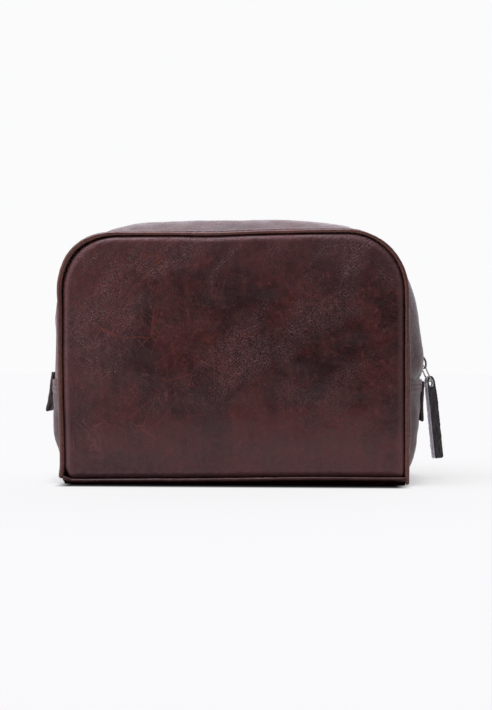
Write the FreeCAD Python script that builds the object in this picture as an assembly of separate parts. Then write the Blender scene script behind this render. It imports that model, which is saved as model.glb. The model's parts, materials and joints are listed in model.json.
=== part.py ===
"""Leather shaving kit bag: piped walls, a soft gusset with an arched zip, a base and a hanging zip pull.

Millimetres: +X along the bag's length towards the zip pull, +Y from the front wall to the back wall,
+Z up. The origin is the middle of the base's underside, on the surface that the bag stands on.
Each sub-part is written to parts/NODE.step.
"""

import FreeCAD, Part

import math
import os

Vector = FreeCAD.Vector

# ---- Driving dimensions ---------------------------------------------------------------------------
HALF_WIDTH = 130.0  # across the pipings
HEIGHT = 188.0  # top of the pipings
HALF_DEPTH = 57.0  # outer face of the pipings
CORNER_R = 46.0  # top corners, outside of the piping

LEATHER = 1.4
BASE_LEATHER = 1.6
BOARD = 1.4
BASE_BOARD = 1.8
LINING = 0.5
GAP = 0.1  # between plies that lie on each other
CLEAR = 0.3  # between pieces that move past each other

BEAD_R = 2.1  # piping bead
BEAD_WALL = 0.8  # leather around the piping's cord
CORD_PLAY = 0.05
FLANGE = 0.8  # piping's sewn-in flange
FLANGE_DEPTH = 8.0
BEAD_Y = HALF_DEPTH - BEAD_R
BEAD_Z = BEAD_R + CLEAR  # foot of the arch piping
BASE_BEAD_Z = 4.4

# The gusset runs from the piping seam to a crest at mid-depth, where the zip lies.
SEAM_Y = 52.6
SEAM_INSET = 2.6  # gusset's outer face, inside the piping's outline
JOIN_Z = 77.3  # where the zip strips end and the side panels begin
CREST_FLAT_Y = 15.0
STRIP_EDGE_Y = 6.2  # folded leather edge beside the zip
BULGE_STATIONS = ((SEAM_Y, 0.0), (40.0, 0.55), (27.0, 0.85), (CREST_FLAT_Y, 1.0))

# Arch sections as (half width at JOIN_Z, half width at the shoulder, shoulder height,
# half width where the top begins, height there, height in the middle of the top).
SEAM_ARCH = (127.4, 127.4, 142.0, 84.0, 185.0, 185.4)
CREST_ARCH = (141.4, 138.5, 128.0, 86.0, 194.3, 199.0)
# Middle of the round corner, as shares of the way from the top's end out to the shoulder and up from it
SEAM_CORNER = (0.7071, 0.7071)
CREST_CORNER = (0.83, 0.42)

# Side panels below JOIN_Z: how far they bulge at the crest, at the base and half way up.
SIDE_FOOT_Z = 1.9
SIDE_FOOT_BULGE = 1.5
SIDE_MID_Z = 38.0
SIDE_MID_BULGE = 9.2
SIDE_BOW = 0.3  # keeps a seam-side section from being a straight line
LINING_FOOT_Z = 4.8

# Zip
TAPE = 0.6
TAPE_Y = (0.95, 14.0)
TAPE_END_Z = 78.3
TOOTH_Y = (0.75, 3.6)
TOOTH_CLAMP_Y = 2.2  # the tape's edge lies in the tooth's slot from here outwards
TOOTH_HEIGHT = 2.2
TOOTH_LENGTH = 1.7
TOOTH_SLOT = 0.76
HALF_PITCH = 1.6
STOP_LENGTH = 2.6
TEETH_START_Z = 97.5  # right-hand side, just above the resting slider
STOP_Z = 80.6

# Slider, in its own frame: X out from the leather's face, Y depth, Z along the zip
SLIDER_Z = 90.5
SLIDER_LENGTH = 11.0
SLIDER_HALF_WIDTH = 5.0
PLATE = 1.2
PLATE_LOW = -0.5  # underside of the outer plate, above the teeth
INNER_PLATE_TOP = -3.1
SLIDER_FLANGE_Y = 3.8
SLIDER_SLOT = (-2.35, -1.25)  # passage for the tape
WEB_HALF = 0.5
WEB_LENGTH = 3.0
WEB_INSET = 0.3
PLATE_CORNER_R = 2.4
INNER_PLATE = 1.0
CROWN_WIDTH = 2.2
CROWN_BAR = 1.1

# Pull: ring through the crown, strap through the ring
RING_WIRE_R = 0.55
RING_HALF_WIDTH = 3.45  # to the wire's centre
RING_PITCH = 13.6  # between the centres of the two ends
RING_TILT = 26.0  # out from hanging straight down
RING_TWIST = 24.0  # of the ring's width, from the depth direction
RING_SEAT = (-2.9, 2.2)  # along the slider, out from the leather's face
STRAP_TWIST = 35.0  # of the strap's face, towards the front
STRAP_TILT = 6.5
STRAP_WIDTH = 11.0
STRAP_LENGTH = 58.0  # below the hole
STRAP_PLY = 1.4
STRAP_HOLE_R = 3.0
STRAP_HOLE_DROP = 1.3  # hole's centre below the ring's wire

# End tabs over the two ends of the zip
TAB_TOP_Z = {"right": 75.8, "left": 82.5}
TAB_LENGTH = 30.5
TAB_WIDTH = 20.0
TAB_PLY = 1.0
TAB_FOLD_GAP = 0.2
TAB_CLEAR = 0.3
TAB_TILT = {"right": -3.0, "left": 7.0}

# Sewing on the side panels' folded top edge: two rows
STITCH_ROWS_Z = (73.7, 70.7)
STITCH_LENGTH = 2.3
STITCH_PITCH = 3.3
STITCH_THICK = 0.45
STITCH_Y = (13.0, 49.0)

os.makedirs("parts", exist_ok=True)


# ---- Small tools ----------------------------------------------------------------------------------
def save(name, *solids):
    """Writes one node from one or more closed solids."""
    shape = solids[0] if len(solids) == 1 else Part.makeCompound(list(solids))
    shape.exportStep("parts/%s.step" % name)


def box(x0, x1, y0, y1, z0, z1):
    """A box from its two corners, given in any order along each axis."""
    low = Vector(min(x0, x1), min(y0, y1), min(z0, z1))
    return Part.makeBox(abs(x1 - x0), abs(y1 - y0), abs(z1 - z0), low)


def mix(a, b, share):
    """The value part of the way from a to b."""
    return a + (b - a) * share


def line(a, b):
    return Part.LineSegment(a, b).toShape()


def arc(a, middle, b):
    return Part.Arc(a, middle, b).toShape()


def about_y(shape, centre, degrees):
    """A copy of shape turned about a line along Y through centre."""
    turned = shape.copy()
    turned.rotate(centre, Vector(0, 1, 0), degrees)
    return turned


# ---- Wall outline: flat-bottomed arch with round top corners ---------------------------------------
def wall_edges(y, inset, bottom_z):
    """Open path from the right foot over the top to the left foot."""
    half = HALF_WIDTH - inset
    top = HEIGHT - inset
    radius = CORNER_R - inset
    shoulder = top - radius
    flat = half - radius
    diagonal = radius * math.sqrt(0.5)
    right_foot, left_foot = Vector(half, y, bottom_z), Vector(-half, y, bottom_z)
    right_side, left_side = Vector(half, y, shoulder), Vector(-half, y, shoulder)
    right_top, left_top = Vector(flat, y, top), Vector(-flat, y, top)
    right_mid = Vector(flat + diagonal, y, shoulder + diagonal)
    left_mid = Vector(-flat - diagonal, y, shoulder + diagonal)
    return [
        line(right_foot, right_side),
        arc(right_side, right_mid, right_top),
        line(right_top, left_top),
        arc(left_top, left_mid, left_side),
        line(left_side, left_foot),
    ]


def wall_plate(y0, y1, inset, bottom_z):
    """A flat ply of a wall, between two depths."""
    edges = wall_edges(y0, inset, bottom_z)
    half = HALF_WIDTH - inset
    edges.append(line(Vector(-half, y0, bottom_z), Vector(half, y0, bottom_z)))
    return Part.Face(Part.Wire(edges)).extrude(Vector(0, y1 - y0, 0))


def wall_band(y0, y1, outer_inset, inner_inset, bottom_z):
    """The part of a wall ply between two insets, open at the foot."""
    whole = wall_plate(y0, y1, outer_inset, bottom_z)
    return whole.cut(wall_plate(y0, y1, inner_inset, bottom_z))


def rod(edges, radius):
    """A round rod along a planar path of tangent edges."""
    path = Part.Wire(edges)
    start = edges[0].Vertexes[0].Point
    direction = edges[0].Vertexes[1].Point - start
    profile = Part.Wire([Part.makeCircle(radius, start, direction)])
    return path.makePipeShell([profile], True, False)


# ---- Gusset arch ----------------------------------------------------------------------------------
def bulge_at(y):
    """Bulge of the gusset at a depth, from the seam to the crest."""
    stations = sorted(BULGE_STATIONS)
    for (y0, b0), (y1, b1) in zip(stations, stations[1:]):
        if y0 <= y <= y1:
            return mix(b0, b1, (y - y0) / (y1 - y0))
    return 1.0 if y < stations[0][0] else 0.0


def arch_section(bulge):
    """The arch's six sizes and its corner's two shares, between the seam and the crest."""
    return [mix(a, b, bulge) for a, b in zip(SEAM_ARCH + SEAM_CORNER, CREST_ARCH + CREST_CORNER)]


def arch_points(y, bulge, inset, foot_z):
    """Points of the arch from the right foot to the left foot, as arcs' ends and middles."""
    low, high, shoulder_z, top_x, edge_z, middle_z, across, up = arch_section(bulge)
    slope = (high - low) / (shoulder_z - JOIN_Z)
    foot_x = low + slope * (foot_z - JOIN_Z)
    mid_x = top_x + (high - inset - top_x) * across
    mid_z = shoulder_z + (edge_z - inset - shoulder_z) * up
    right = [
        Vector(foot_x - inset, y, foot_z),
        Vector(high - inset, y, shoulder_z),
        Vector(mid_x, y, mid_z),
        Vector(top_x, y, edge_z - inset),
    ]
    left = [Vector(-p.x, y, p.z) for p in reversed(right)]
    return right + [Vector(0, y, middle_z - inset)] + left


def arch_edges(points):
    return [
        line(points[0], points[1]),
        arc(*points[1:4]),
        arc(*points[3:6]),
        arc(*points[5:8]),
        line(points[7], points[8]),
    ]


def arch_wire(y, bulge, outer, inner, foot_z):
    """Closed section of a ply of the arch between two insets from the leather's face."""
    out = arch_points(y, bulge, outer, foot_z)
    back = arch_points(y, bulge, inner, foot_z)[::-1]
    edges = arch_edges(out) + [line(out[-1], back[0])]
    edges += arch_edges(back) + [line(back[-1], out[0])]
    return Part.Wire(edges)


def arch_ply(side, stations, outer, inner, foot_z):
    """A ply of the gusset lofted through its stations; side is -1 at the front, 1 at the back."""
    wires = [arch_wire(side * y, bulge, outer, inner, foot_z) for y, bulge in stations]
    return Part.makeLoft(wires, True, True)


# ---- Walls ----------------------------------------------------------------------------------------
def make_wall(name, side):
    """Front or back wall: leather, board, lining, and the piping with its cord."""
    outer = side * (HALF_DEPTH - 0.5)
    leather_in = outer - side * LEATHER
    board_out = side * (BEAD_Y - FLANGE)
    board_in = board_out - side * BOARD
    lining_out = board_in - side * GAP
    save(name + "_panel", wall_plate(outer, leather_in, 2 * BEAD_R + 0.2, BASE_BEAD_Z + BEAD_R + 0.4))
    save(name + "_board", wall_plate(board_out, board_in, 2 * BEAD_R + 1.0, 15.0))
    save(name + "_lining", wall_plate(lining_out, lining_out - side * LINING, 4.7, 5.2))

    make_arch_piping(name, side, leather_in)
    make_base_piping(name, side, leather_in)


def bead_tube(edges, caps):
    """Leather tube of a piping bead along a path, closed by round caps where caps says so."""
    inner_r = BEAD_R - BEAD_WALL
    tube = rod(edges, BEAD_R)
    for point in caps:
        tube = tube.fuse(Part.makeSphere(BEAD_R, point))
    return tube.cut(rod(edges, inner_r)).removeSplitter()


def make_arch_piping(name, side, leather_in):
    """Piping up one side, over the top and down the other, with the cord inside it."""
    y = side * BEAD_Y
    edges = wall_edges(y, BEAD_R, BEAD_Z)
    feet = [Vector(x, y, BEAD_Z) for x in (HALF_WIDTH - BEAD_R, BEAD_R - HALF_WIDTH)]
    flange_out = leather_in - side * GAP
    flange = wall_band(
        flange_out,
        flange_out - side * FLANGE,
        2 * BEAD_R - 0.3,
        2 * BEAD_R + FLANGE_DEPTH,
        2 * BEAD_R + FLANGE_DEPTH + 1.5,
    )
    save(name + "_piping", bead_tube(edges, feet).fuse(flange))
    save(name + "_piping_cord", rod(edges, BEAD_R - BEAD_WALL - CORD_PLAY))


def make_base_piping(name, side, leather_in):
    """Piping along the foot of a wall, between the two feet of the arch piping."""
    y = side * BEAD_Y
    half = HALF_WIDTH - 2 * BEAD_R - 0.2
    edge = [line(Vector(-half, y, BASE_BEAD_Z), Vector(half, y, BASE_BEAD_Z))]
    flange_out = leather_in - side * GAP
    flange = box(
        -half + FLANGE_DEPTH + 1.0,
        half - FLANGE_DEPTH - 1.0,
        flange_out,
        flange_out - side * FLANGE,
        BASE_BEAD_Z + BEAD_R - 0.3,
        BASE_BEAD_Z + BEAD_R + FLANGE_DEPTH,
    )
    save(name + "_base_piping", bead_tube(edge, []).fuse(flange))
    save(name + "_base_piping_cord", rod(edge, BEAD_R - BEAD_WALL - CORD_PLAY))


# ---- Gusset strips, tapes and teeth ---------------------------------------------------------------
def make_zip_half(name, side):
    """Half of the upper gusset with its half of the zip."""
    strip = BULGE_STATIONS + ((STRIP_EDGE_Y, 1.0),)
    save(name + "_zip_strip", arch_ply(side, strip, 0.0, LEATHER, JOIN_Z + CLEAR))

    lining_out = LEATHER + 2 * GAP + TAPE + GAP
    end_y = SEAM_Y - 0.9
    lining = ((end_y, bulge_at(end_y)),) + BULGE_STATIONS[1:] + ((STRIP_EDGE_Y + 2.0, 1.0),)
    save(
        name + "_strip_lining",
        arch_ply(side, lining, lining_out, lining_out + LINING, JOIN_Z + 2 * CLEAR),
    )

    tape_out = LEATHER + GAP
    tape = ((TAPE_Y[1], 1.0), (TOOTH_CLAMP_Y, 1.0))
    save(name + "_zip_tape", arch_ply(side, tape, tape_out, tape_out + TAPE, TAPE_END_Z))

    middle = tape_out + TAPE / 2
    path = Part.Wire(arch_edges(arch_points(0.0, 1.0, middle, JOIN_Z)))
    count = int(path.Length / HALF_PITCH)
    points = path.discretize(Number=count + 1)
    first = 1 if side < 0 else 2
    teeth = []
    for i in range(first, count, 2):
        here = points[i]
        low = TEETH_START_Z if here.x > 0 else STOP_Z + 2.5
        if here.z >= low:
            teeth.append(zip_clamp(side, here, points[i + 1] - points[i - 1], TOOTH_LENGTH))
    save(name + "_zip_teeth", *teeth)

    stops = []
    for at in (1, -1):
        here = min(points, key=lambda p: abs(p.z - STOP_Z) + (0 if p.x * at > 0 else 1000))
        i = points.index(here)
        stops.append(zip_clamp(side, here, points[i + 1] - points[i - 1], STOP_LENGTH))
    save(name + "_zip_stops", *stops)


def zip_clamp(side, here, along, length):
    """A metal clamp over the tape's edge: a tooth, or a longer end stop."""
    near, far = side * TOOTH_Y[0], side * TOOTH_Y[1]
    block = box(-length / 2, length / 2, near, far, -TOOTH_HEIGHT / 2, TOOTH_HEIGHT / 2)
    slot = box(-length, length, side * (TOOTH_CLAMP_Y - 0.05), 2 * far, -TOOTH_SLOT / 2, TOOTH_SLOT / 2)
    clamp = block.cut(slot)
    clamp.rotate(Vector(0, 0, 0), Vector(0, 1, 0), -math.degrees(math.atan2(along.z, along.x)))
    clamp.translate(here)
    return clamp


# ---- Side panels and base -------------------------------------------------------------------------
def side_face(z, bulge):
    """Half width of a side panel's outer face, for the three heights that shape it."""
    at_join = mix(SEAM_ARCH[0], CREST_ARCH[0], bulge)
    rise = {SIDE_FOOT_Z: SIDE_FOOT_BULGE * bulge, SIDE_MID_Z: SIDE_MID_BULGE * bulge + SIDE_BOW}
    return SEAM_ARCH[0] + rise[z] if z in rise else at_join


def side_section(hand, y, bulge, outer, inner):
    """Closed section of a side ply at one depth; hand is 1 at the right, -1 at the left."""

    def edge(inset):
        heights = (SIDE_FOOT_Z, SIDE_MID_Z, JOIN_Z)
        return [Vector(hand * (side_face(z, bulge) - inset), y, z) for z in heights]

    out, back = edge(outer), edge(inner)
    return Part.Wire(
        [arc(*out), line(out[2], back[2]), arc(*back[::-1]), line(back[0], out[0])]
    )


def side_ply(hand, end_y, outer, inner):
    """A side panel's ply, lofted from the front seam over the crest to the back seam."""
    half = ((end_y, bulge_at(end_y)),) + BULGE_STATIONS[1:]
    stations = [(-y, b) for y, b in half] + [(y, b) for y, b in reversed(half)]
    wires = [side_section(hand, y, b, outer, inner) for y, b in stations]
    return Part.makeLoft(wires, True, True)


def side_height_x(y, z):
    """Half width of the side panel's outer face near its top edge."""
    bulge = bulge_at(abs(y))
    points = [(h, side_face(h, bulge)) for h in (SIDE_FOOT_Z, SIDE_MID_Z, JOIN_Z)]
    total = 0.0
    for i, (zi, xi) in enumerate(points):
        weight = 1.0
        for j, (zj, _) in enumerate(points):
            if j != i:
                weight *= (z - zj) / (zi - zj)
        total += weight * xi
    return total


def stitches(hand):
    """Two rows of stitches along the side panel's folded top edge, clear of the end tab."""
    found = []
    for z in STITCH_ROWS_Z:
        count = int((STITCH_Y[1] - STITCH_Y[0]) / STITCH_PITCH) + 1
        for flank in (-1, 1):
            for i in range(count):
                y = flank * (STITCH_Y[0] + i * STITCH_PITCH)
                near, far = side_height_x(y - 1, z), side_height_x(y + 1, z)
                face = max(near, far, side_height_x(y, z))
                slope = math.degrees(math.atan2(far - near, 2.0))
                thread = Part.makeCylinder(
                    STITCH_THICK / 2,
                    STITCH_LENGTH,
                    Vector(hand * (face + 0.45), y - STITCH_LENGTH / 2, z),
                    Vector(0, 1, 0),
                )
                centre = Vector(hand * (face + 0.45), y, z)
                thread.rotate(centre, Vector(0, 0, 1), -hand * slope)
                found.append(thread)
    return found


def make_side(name, hand):
    save(name + "_side_panel", side_ply(hand, SEAM_Y, 0.0, LEATHER))
    out = LEATHER + GAP
    lining = side_ply(hand, SEAM_Y - 1.0, out, out + LINING)
    span = box(0, hand * CREST_ARCH[0], -SEAM_Y, SEAM_Y, LINING_FOOT_Z, JOIN_Z - 0.5)
    save(name + "_side_lining", lining.common(span))
    save(name + "_seam_stitches", *stitches(hand))


def make_base():
    """Base leather, the board that keeps it flat, and the lining over it."""
    half = SEAM_ARCH[0] - LEATHER - CLEAR
    board_z = BASE_LEATHER + 2 * GAP
    lining_z = board_z + BASE_BOARD + 2 * GAP
    save("base_panel", box(-half, half, -SEAM_Y, SEAM_Y, 0, BASE_LEATHER))
    save("base_board", box(-half + 3, half - 3, -SEAM_Y + 3, SEAM_Y - 3, board_z, board_z + BASE_BOARD))
    save(
        "base_lining",
        box(-half + 1.5, half - 1.5, -SEAM_Y + 1.4, SEAM_Y - 1.4, lining_z, lining_z + LINING),
    )


# ---- End tabs -------------------------------------------------------------------------------------
def make_end_tab(name, hand):
    """Leather tab folded double, sewn by its top over the end of the zip."""
    inner = CREST_ARCH[0] + TAB_CLEAR
    thick = 2 * TAB_PLY + TAB_FOLD_GAP
    top = TAB_TOP_Z[name]
    bottom = top - TAB_LENGTH
    tab = box(inner, inner + thick, -TAB_WIDTH / 2, TAB_WIDTH / 2, bottom, top)
    fold = [e for e in tab.Edges if abs(e.CenterOfMass.z - bottom) < 1e-6 and e.Length > TAB_WIDTH - 1]
    tab = tab.makeFillet(thick / 2 - 0.05, fold)
    slit_x = inner + TAB_PLY
    slit_top = top - 6.0
    slit = box(slit_x, slit_x + TAB_FOLD_GAP, -TAB_WIDTH, TAB_WIDTH, bottom + 1.4, slit_top)
    tab = tab.cut(slit)
    tab = about_y(tab, Vector(inner, 0, top), -TAB_TILT[name])
    if hand < 0:
        tab = tab.mirror(Vector(0, 0, 0), Vector(1, 0, 0))
    save(name + "_end_tab", tab)


# ---- Slider and pull ------------------------------------------------------------------------------
def zip_line():
    """The slider's seat on the leather's face at the right, and the zip's lean from upright."""
    low, high, shoulder_z = CREST_ARCH[:3]
    lean = math.atan2(low - high, shoulder_z - JOIN_Z)
    x = low - math.tan(lean) * (SLIDER_Z - JOIN_Z)
    return Vector(x, 0, SLIDER_Z), lean


def on_slider(shape):
    """Places a shape built with X out from the leather and Z along the zip."""
    seat, lean = zip_line()
    placed = about_y(shape, Vector(0, 0, 0), -math.degrees(lean))
    placed.translate(seat)
    return placed


def slider_point(along, out):
    seat, lean = zip_line()
    x = out * math.cos(lean) - along * math.sin(lean)
    z = out * math.sin(lean) + along * math.cos(lean)
    return seat + Vector(x, 0, z)


def rounded_plate(plate):
    """A slider plate with its four corners rounded."""
    corners = [e for e in plate.Edges if abs(e.tangentAt(e.FirstParameter).x) > 0.99]
    return plate.makeFillet(PLATE_CORNER_R, corners)


def make_slider():
    """Slider: two plates joined by a web at the open end, with flanges that guide the teeth."""
    half = SLIDER_LENGTH / 2
    width = SLIDER_HALF_WIDTH
    outer = box(PLATE_LOW, PLATE_LOW + PLATE, -width, width, -half, half)
    inner = box(INNER_PLATE_TOP, INNER_PLATE_TOP - INNER_PLATE, -width, width, -half, half)
    body = rounded_plate(outer).fuse(rounded_plate(inner))
    straight = half - PLATE_CORNER_R
    for side in (-1, 1):
        near, far = side * SLIDER_FLANGE_Y, side * width
        body = body.fuse(box(SLIDER_SLOT[1], PLATE_LOW, near, far, -straight, straight))
        body = body.fuse(box(INNER_PLATE_TOP, SLIDER_SLOT[0], near, far, -straight, straight))
    web = box(INNER_PLATE_TOP, PLATE_LOW, -WEB_HALF, WEB_HALF, half - WEB_LENGTH, half - WEB_INSET)
    save("slider_body", on_slider(body.fuse(web).removeSplitter()))

    foot = PLATE_LOW + PLATE + 0.02
    top = 5.0
    outline = [
        line(Vector(foot, 0, 4.9), Vector(2.2, 0, 4.7)),
        arc(Vector(2.2, 0, 4.7), Vector(top, 0, 0.0), Vector(4.4, 0, -4.9)),
        line(Vector(4.4, 0, -4.9), Vector(2.5, 0, -5.5)),
        line(Vector(2.5, 0, -5.5), Vector(2.3, 0, -4.8)),
        line(Vector(2.3, 0, -4.8), Vector(3.6, 0, -4.2)),
        arc(Vector(3.6, 0, -4.2), Vector(top - CROWN_BAR, 0, -0.2), Vector(1.9, 0, 3.3)),
        line(Vector(1.9, 0, 3.3), Vector(foot, 0, 3.4)),
        line(Vector(foot, 0, 3.4), Vector(foot, 0, 4.9)),
    ]
    crown = Part.Face(Part.Wire(outline)).extrude(Vector(0, CROWN_WIDTH, 0))
    crown.translate(Vector(0, -CROWN_WIDTH / 2, 0))
    save("slider_crown", on_slider(crown))


def ring_frame():
    """Centres of the ring's two ends, its width direction and its direction down."""
    twist, tilt = math.radians(RING_TWIST), math.radians(RING_TILT)
    width = Vector(math.sin(twist), -math.cos(twist), 0)
    out = Vector(math.cos(twist), math.sin(twist), 0)
    down = out * math.sin(tilt) + Vector(0, 0, -math.cos(tilt))
    top = slider_point(*RING_SEAT)
    return top, top + down * RING_PITCH, width, down


def make_ring():
    """Wire ring: two straight sides and two half-round ends."""
    top, bottom, width, down = ring_frame()
    reach = width * RING_HALF_WIDTH
    high, low = top + down * RING_HALF_WIDTH, bottom - down * RING_HALF_WIDTH
    edges = [
        line(high + reach, low + reach),
        arc(low + reach, bottom, low - reach),
        line(low - reach, high - reach),
        arc(high - reach, top, high + reach),
    ]
    save("pull_ring", rod(edges, RING_WIRE_R))


def strap_ply(inner, outer):
    """One ply of the strap, from its face distances out from the ring's wire."""
    lift = STRAP_HOLE_DROP
    half = STRAP_WIDTH / 2
    top = Vector(inner, 0, half - lift)
    foot = -lift - STRAP_LENGTH
    edges = [
        arc(Vector(inner, half, -lift), top, Vector(inner, -half, -lift)),
        line(Vector(inner, -half, -lift), Vector(inner, -half, foot)),
        line(Vector(inner, -half, foot), Vector(inner, half, foot)),
        line(Vector(inner, half, foot), Vector(inner, half, -lift)),
    ]
    ply = Part.Face(Part.Wire(edges)).extrude(Vector(outer - inner, 0, 0))
    corners = [e for e in ply.Edges if e.Length < STRAP_PLY + 0.1 and e.CenterOfMass.z < foot + 0.01]
    ply = ply.makeFillet(1.8, corners)
    hole = Part.makeCylinder(STRAP_HOLE_R, 4 * STRAP_PLY, Vector(-2 * STRAP_PLY, 0, -lift), Vector(1, 0, 0))
    ply = ply.cut(hole)
    ply.rotate(Vector(0, 0, 0), Vector(0, 1, 0), -STRAP_TILT)
    ply.rotate(Vector(0, 0, 0), Vector(0, 0, 1), -STRAP_TWIST)
    ply.translate(ring_frame()[1])
    return ply


def make_strap():
    save("pull_strap_outer", strap_ply(GAP / 4, STRAP_PLY))
    save("pull_strap_inner", strap_ply(-GAP / 4, -STRAP_PLY))


# ---- Build ----------------------------------------------------------------------------------------
for wall_name, wall_side in (("front", -1), ("back", 1)):
    make_wall(wall_name, wall_side)
    make_zip_half(wall_name, wall_side)
for hand_name, hand_sign in (("right", 1), ("left", -1)):
    make_side(hand_name, hand_sign)
    make_end_tab(hand_name, hand_sign)
make_base()
make_slider()
make_ring()
make_strap()

seat_point, zip_lean = zip_line()
print("slider seat", seat_point, "lean", math.degrees(zip_lean))
print("ring ends", ring_frame())
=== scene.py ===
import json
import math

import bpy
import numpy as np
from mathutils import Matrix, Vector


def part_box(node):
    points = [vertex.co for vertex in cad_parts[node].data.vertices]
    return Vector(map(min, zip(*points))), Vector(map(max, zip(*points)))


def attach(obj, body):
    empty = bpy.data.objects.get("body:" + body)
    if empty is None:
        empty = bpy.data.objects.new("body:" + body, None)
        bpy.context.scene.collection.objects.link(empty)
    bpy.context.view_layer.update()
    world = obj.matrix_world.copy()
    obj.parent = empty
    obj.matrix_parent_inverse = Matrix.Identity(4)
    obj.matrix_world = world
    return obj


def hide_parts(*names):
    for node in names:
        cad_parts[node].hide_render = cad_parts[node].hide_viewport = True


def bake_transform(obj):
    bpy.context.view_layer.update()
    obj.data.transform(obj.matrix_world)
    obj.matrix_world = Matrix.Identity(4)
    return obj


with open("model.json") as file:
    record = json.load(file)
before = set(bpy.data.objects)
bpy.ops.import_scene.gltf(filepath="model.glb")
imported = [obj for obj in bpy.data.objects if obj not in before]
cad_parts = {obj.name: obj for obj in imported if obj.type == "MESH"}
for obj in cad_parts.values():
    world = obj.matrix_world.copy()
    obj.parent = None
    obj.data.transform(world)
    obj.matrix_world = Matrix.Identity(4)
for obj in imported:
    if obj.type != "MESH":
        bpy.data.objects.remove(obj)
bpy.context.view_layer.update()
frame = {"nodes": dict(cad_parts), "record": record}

# A leather shaving kit bag, seen almost square on to its front wall.
# Lengths are millimetres in the CAD's frame, but metres in the meshes, the materials, the floor's bands
# and the camera's place.
# Each soft piece is a closed mesh made from its own section, and replaces the plain CAD solid.

MM = 0.001


def corners(node):
    low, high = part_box(node)
    return np.array(low) / MM, np.array(high) / MM


# ---- Driving dimensions, from the frame -----------------------------------------------------------
PIPE_LOW, PIPE_HIGH = corners("front_piping")
GUSSET_LOW, GUSSET_HIGH = corners("front_zip_strip")
SIDE_HIGH = corners("right_side_panel")[1]
HALF_W = PIPE_HIGH[0]
TOP_Z = PIPE_HIGH[2]
HALF_D = -PIPE_LOW[1]
JOIN_Z = SIDE_HIGH[2]
SEAM_Y = -GUSSET_LOW[1]
CREST_X = SIDE_HIGH[0]
CREST_TOP = GUSSET_HIGH[2]

CORNER_R = 46.0
BEAD_R = 1.2
BEAD_INSET = 2.0
BEAD_SIDES = 22
CORD_R = 0.7
BEAD_Y = HALF_D - 1.3
BEAD_FEET = (2.6, 6.4)  # heights at which the wall's piping starts, right and left
LEATHER = 1.4
LINING = 0.5

# Arch sections: half width at the join and at the shoulder, shoulder height, half width where the top
# begins, height there and in the middle of the top, and where the corner's middle lies between them.
SEAM_ARCH = (127.4, 127.4, 142.0, 84.0, 185.0, 185.4, 0.7071, 0.7071)
CREST_ARCH = (CREST_X, CREST_X - 2.9, 128.0, 86.0, CREST_TOP - 4.7, CREST_TOP, 0.83, 0.42)
CREST_FLAT_Y = 15.0

# Side panels: crest half width at the foot, half way up and at the join.
SIDE_STATIONS = ((1.9, 128.9), (38.0, 136.9), (JOIN_Z, CREST_X))
SIDE_FOOT = 1.9

STITCH_DROPS = (3.6, 6.6)  # below the side panel's top edge


# ---- Smooth shapes --------------------------------------------------------------------------------
def waves(points, length, seed, count=9):
    """Smooth seeded noise, about -1 to 1, whose features are about length across."""
    rng = np.random.default_rng(seed)
    ways = rng.normal(size=(count, points.shape[-1]))
    ways = unit(ways) * (2 * math.pi / length * rng.uniform(0.6, 1.5, count))[:, None]
    phases = rng.uniform(0, 2 * math.pi, count)
    return np.sin(points @ ways.T + phases).sum(axis=-1) / math.sqrt(count)


def bump(x, centre, width):
    return np.exp(-(((x - centre) / width) ** 2))


def rise_to(x, start, end):
    """0 before start, 1 after end, smooth between."""
    t = np.clip((x - start) / (end - start), 0, 1)
    return t * t * (3 - 2 * t)


def unit(vectors):
    return vectors / np.linalg.norm(vectors, axis=-1)[..., None]


def run_along(line):
    """The distance along a line of points, at each of them."""
    return np.concatenate([[0], np.cumsum(np.linalg.norm(np.diff(line, axis=0), axis=1))])


def grid_of(rows, columns):
    """Pairs of numbers for a grid, from those of its rows and its columns."""
    return np.stack(np.broadcast_arrays(rows[:, None], columns[None, :]), axis=-1)


def base_line(x):
    """Height of the base piping: lower at the left than at the right, and turned up at its left end."""
    level = 3.9 + 1.2 * np.sin(math.pi / 2 * np.clip((x + 10) / 115, -1, 1))
    return level + 2.6 * np.clip((-x - 119) / 8, 0, 1) ** 2


def slump(points):
    """Lets the bag sag a little, unevenly: every piece of its body goes through this together."""
    p = np.array(points, float)
    x, z = p[..., 0], p[..., 2]
    lean = 1.9 * (1 - rise_to(z, 4, 92)) * np.clip(-x / HALF_W, 0, 1) ** 2
    high = np.clip(z / TOP_Z, 0, 1.1) ** 2
    # The top left corner is squarer than the right one.
    corner = 2.6 * bump(x, -119, 26) * bump(z, 179, 26)
    crest = 0.9 * x / HALF_W - 0.9 * bump(x, -16, 24) + 0.35 * bump(x, 62, 30)
    p[..., 2] = z + high * crest + 0.8 * corner
    # The wavering stops at the right below the shoulder, where the slider runs.
    waver = high * 0.5 * np.sin(z / 31) * (1 - rise_to(x, 60, 125) * (1 - rise_to(z, 130, 150)))
    p[..., 0] = x + waver + lean - 0.8 * corner
    return p


def sagged(x, y, z):
    """Points of the bag's body from their places before it sags."""
    return slump(np.stack(np.broadcast_arrays(x, y, z), axis=-1))


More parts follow.
